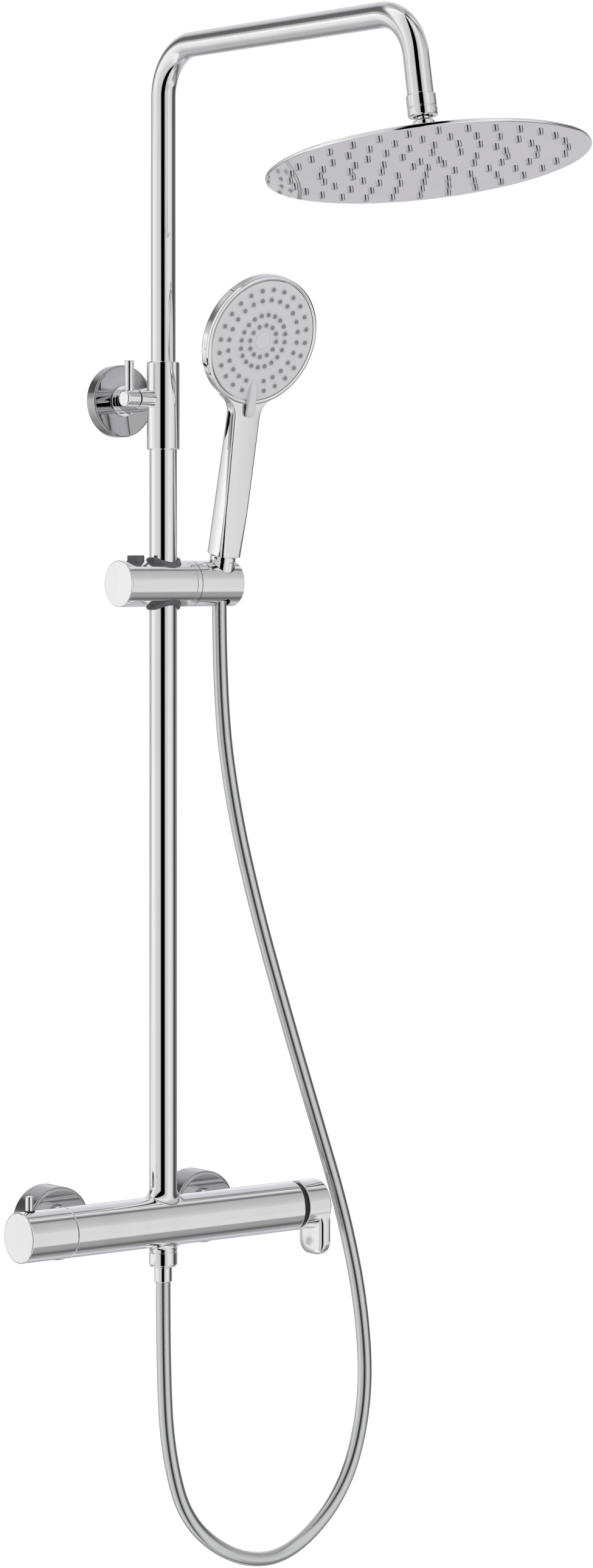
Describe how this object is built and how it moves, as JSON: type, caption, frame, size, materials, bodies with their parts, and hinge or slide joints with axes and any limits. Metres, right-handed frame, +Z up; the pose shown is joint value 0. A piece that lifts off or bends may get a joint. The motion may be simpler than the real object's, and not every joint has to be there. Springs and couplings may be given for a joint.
{
  "type": "rainfall shower column",
  "caption": "Wall-mounted thermostatic shower column: bar mixer with two knobs, telescopic riser, round rain head on a curved arm, sliding hand-shower holder, hand shower and hose.",
  "frame": {"origin": "on the finished wall, midway between the two wall unions", "axes": "+Z up along the riser, +Y into the wall along the unions, +X to the right seen from the room"},
  "size_m": [0.3603, 0.5406, 1.2703],
  "materials": {
    "chrome": "polished chrome plate on brass and steel",
    "chromed_plastic": "bright chrome plate on moulded plastic",
    "hose_silver": "satin silver sheath",
    "spray_grey": "light grey moulded plastic, satin",
    "nozzle_grey": "grey silicone",
    "dark_grey_plastic": "dark grey moulded plastic",
    "black_plastic": "black moulded plastic",
    "black_rubber": "black sealing rubber",
    "raw_brass": "turned brass, unplated",
    "spring_steel": "drawn wire",
    "white_plastic": "natural acetal"
  },
  "bodies": {
    "column": {"mixer_body": "chrome", "inlet_unions": "raw_brass", "union_nuts": "chrome", "union_seals": "black_rubber", "check_valves": "white_plastic", "wall_rosettes": "chrome", "thermostat_cartridge": "raw_brass", "thermostat_stop_ring": "white_plastic", "diverter_cartridge": "raw_brass", "knob_gap_ring": "black_plastic", "hose_outlet_spigot": "chrome", "outlet_washer": "black_rubber", "hose_nut": "chrome", "riser_nipple": "raw_brass", "riser_seals": "black_rubber", "lower_riser_pipe": "chrome", "bracket_sleeve": "chrome", "clamp_pad": "white_plastic", "clamp_seal": "black_plastic", "bracket_stem": "chrome", "bracket_flange": "chrome", "bracket_wall_plate": "raw_brass", "grub_screw": "spring_steel"},
    "temperature_knob": {"temperature_knob": "chromed_plastic", "temperature_spindle": "raw_brass", "stop_button_spring": "spring_steel"},
    "stop_button": {"stop_button": "chromed_plastic"},
    "flow_knob": {"flow_knob": "chromed_plastic", "diverter_spindle": "raw_brass"},
    "clamp_knob": {"clamp_knob": "chrome", "clamp_pin": "chrome", "clamp_screw": "spring_steel"},
    "riser_piston": {"riser_piston": "raw_brass", "piston_seals": "black_rubber"},
    "shower_arm": {"shower_arm": "chrome", "arm_nut": "chrome"},
    "ball_seat": {"ball_seat": "white_plastic"},
    "rain_head": {"swivel_ball": "chrome", "head_flange": "chrome", "head_top_plate": "chrome", "head_spray_plate": "chrome", "head_nozzle_mat": "nozzle_grey"},
    "hose_swivel": {"hose": "hose_silver", "hose_lower_collar": "chrome"},
    "slider": {"slider_body": "chromed_plastic", "slider_end_cap": "chromed_plastic", "slider_liner": "dark_grey_plastic", "slider_ring": "chromed_plastic", "brake_pad": "white_plastic", "slider_button_spring": "spring_steel"},
    "slider_button": {"slider_button": "dark_grey_plastic"},
    "holder": {"handset_holder": "chromed_plastic"},
    "handset_cone": {"hose_cone_nut": "chrome", "hose_ferrule": "raw_brass"},
    "handset": {"handset_body": "chromed_plastic", "handset_waterway": "white_plastic", "handset_rim": "chromed_plastic", "jet_disc": "white_plastic"},
    "spray_face": {"spray_face": "spray_grey", "handset_nozzle_mat": "nozzle_grey"}
  },
  "joints": [
    {"name": "temperature_turn", "type": "hinge", "parent": "column", "child": "temperature_knob", "pos_m": [-0.1225, -0.066, 0], "axis": [1, 0, 0], "range_deg": [-150, 60]},
    {"name": "stop_button_press", "type": "slide", "parent": "temperature_knob", "child": "stop_button", "axis": [0, 0, -1], "range_m": [0, 0.0025], "stiffness_N_per_m": 400, "deforming": ["stop_button_spring"]},
    {"name": "flow_turn", "type": "hinge", "parent": "column", "child": "flow_knob", "pos_m": [0.15, -0.066, 0], "axis": [1, 0, 0], "range_deg": [-90, 90]},
    {"name": "clamp_turn", "type": "hinge", "parent": "column", "child": "clamp_knob", "pos_m": [-0.0345, -0.066, 0.675], "axis": [1, 0, 0], "range_deg": [0, 180]},
    {"name": "riser_height", "type": "slide", "parent": "column", "child": "riser_piston", "axis": [0, 0, 1], "range_m": [-0.1, 0.1]},
    {"name": "arm_swivel", "type": "hinge", "parent": "riser_piston", "child": "shower_arm", "pos_m": [0, -0.066, 0.6], "axis": [0, 0, 1], "range_deg": [-75, 75]},
    {"name": "head_tip", "type": "hinge", "parent": "shower_arm", "child": "ball_seat", "pos_m": [0, -0.39563, 0.88855], "axis": [1, 0, 0], "range_deg": [-10, 10]},
    {"name": "head_roll", "type": "hinge", "parent": "ball_seat", "child": "rain_head", "pos_m": [0, -0.39563, 0.88855], "axis": [0, -0.9848, 0.1736], "range_deg": [-10, 10]},
    {"name": "slider_turn", "type": "hinge", "parent": "column", "child": "hose_swivel", "pos_m": [0, -0.066, 0.2], "axis": [0, 0, 1], "range_deg": [-60, 15]},
    {"name": "slider_height", "type": "slide", "parent": "hose_swivel", "child": "slider", "axis": [0, 0, 1], "range_m": [-0.3, 0.07], "deforming": ["hose"]},
    {"name": "slider_button_press", "type": "slide", "parent": "slider", "child": "slider_button", "axis": [0, 0, -1], "range_m": [0, 0.003], "stiffness_N_per_m": 600, "deforming": ["slider_button_spring"]},
    {"name": "holder_tilt", "type": "hinge", "parent": "slider", "child": "holder", "pos_m": [0.055, -0.066, 0.5236], "axis": [1, 0, 0], "range_deg": [-3, 30]},
    {"name": "handset_lift", "type": "slide", "parent": "holder", "child": "handset_cone", "axis": [0, -0.225, 0.9744], "range_m": [0, 0.06]},
    {"name": "handset_turn", "type": "hinge", "parent": "handset_cone", "child": "handset", "pos_m": [0.055, -0.07, 0.5236], "axis": [0, -0.225, 0.9744], "range_deg": [-30, 30]},
    {"name": "spray_select", "type": "hinge", "parent": "handset", "child": "spray_face", "pos_m": [0.055, -0.12895, 0.72203], "axis": [0, -0.9455, -0.3256], "range_deg": [-20, 20]}
  ]
}
